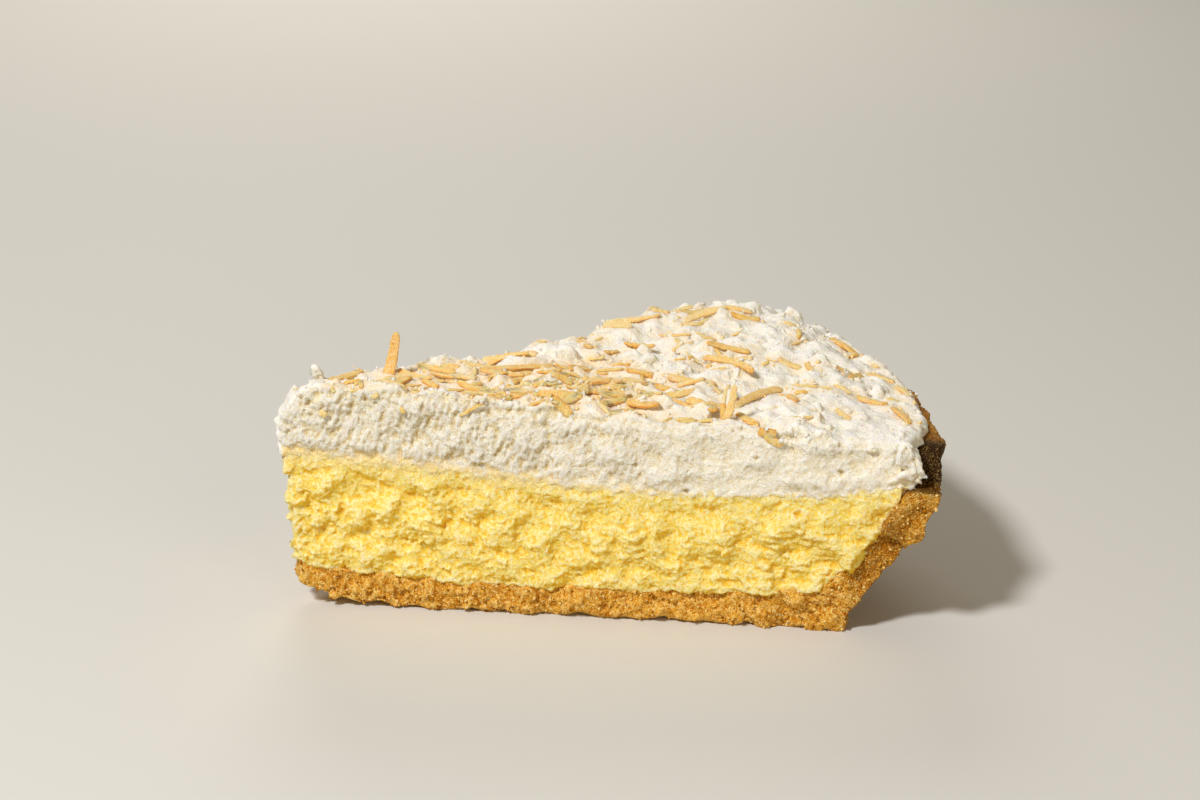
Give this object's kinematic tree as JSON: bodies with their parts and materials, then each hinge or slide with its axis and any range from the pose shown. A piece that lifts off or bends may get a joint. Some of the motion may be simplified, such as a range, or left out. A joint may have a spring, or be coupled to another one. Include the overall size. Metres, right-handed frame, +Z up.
{
  "type": "slice of coconut cream pie",
  "caption": "Wedge of coconut cream pie: crumb crust with a raised rim, thick custard, a layer of whipped cream and toasted coconut shreds on top.",
  "frame": {"origin": "on the flat base of the slice, on the line that halves it, 58 mm from the pie's axis", "axes": "+X from the tip towards the rim along the line that halves the slice, +Y towards the cut face behind, +Z up"},
  "size_m": [0.1156, 0.0896, 0.0478],
  "materials": {
    "crust": "coarse, dry golden-brown crumb",
    "custard": "soft, slightly moist, torn by the knife",
    "cream": "soft and matte, rough where cut"
  },
  "bodies": {
    "root": {"crust": "crust", "custard": "custard", "whipped_cream": "cream"}
  },
  "joints": []
}
